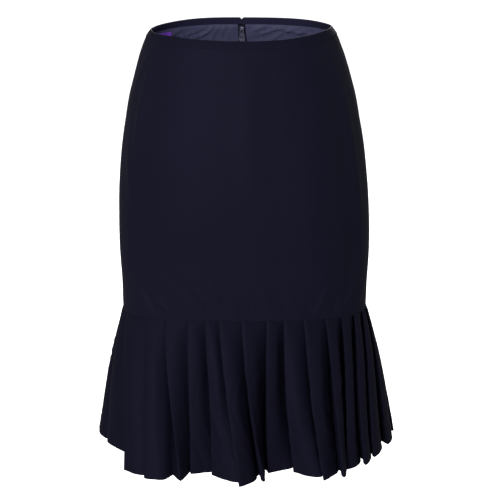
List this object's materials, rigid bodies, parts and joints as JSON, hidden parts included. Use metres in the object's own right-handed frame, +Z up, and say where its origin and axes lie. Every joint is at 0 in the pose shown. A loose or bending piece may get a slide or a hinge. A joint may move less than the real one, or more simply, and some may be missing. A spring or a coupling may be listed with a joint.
{
  "type": "pleated skirt",
  "caption": "Knee-length fitted skirt with a narrow waistband, a full lining, a centre-back zip with a hanging pull tab, and a deep knife-pleated flounce at the hem.",
  "frame": {"origin": "centre of the waist opening, at the mean height of the waistband's top edge", "axes": "+Z up the wearer's body, +X to the right of someone facing the skirt's front, front towards -Y, zip at the back towards +Y"},
  "size_m": [0.4701, 0.335, 0.6673],
  "materials": {
    "cloth": "fine navy suiting with a soft dull sheen",
    "lining": "smooth lilac-grey lining satin",
    "tape": "dark woven zip tape",
    "ribbon": "bright violet satin ribbon, blank",
    "zip_metal": "grey metal"
  },
  "bodies": {
    "garment": {"skirt_front": "cloth", "skirt_back_right": "cloth", "skirt_back_left": "cloth", "waistband_front": "cloth", "waistband_back_right": "cloth", "waistband_back_left": "cloth", "flounce_front": "cloth", "flounce_back": "cloth", "lining_front": "lining", "lining_back_right": "lining", "lining_back_left": "lining", "zip_tape_right": "tape", "zip_tape_left": "tape", "label": "ribbon", "zip_slider": "zip_metal"},
    "pull_tab": {"zip_pull": "zip_metal"}
  },
  "joints": [
    {"name": "pull_tab_hinge", "type": "hinge", "parent": "garment", "child": "pull_tab", "pos_m": [-0.00373, 0.09598, -0.02064], "axis": [1, 0, 0], "range_deg": [-160, 8]}
  ]
}
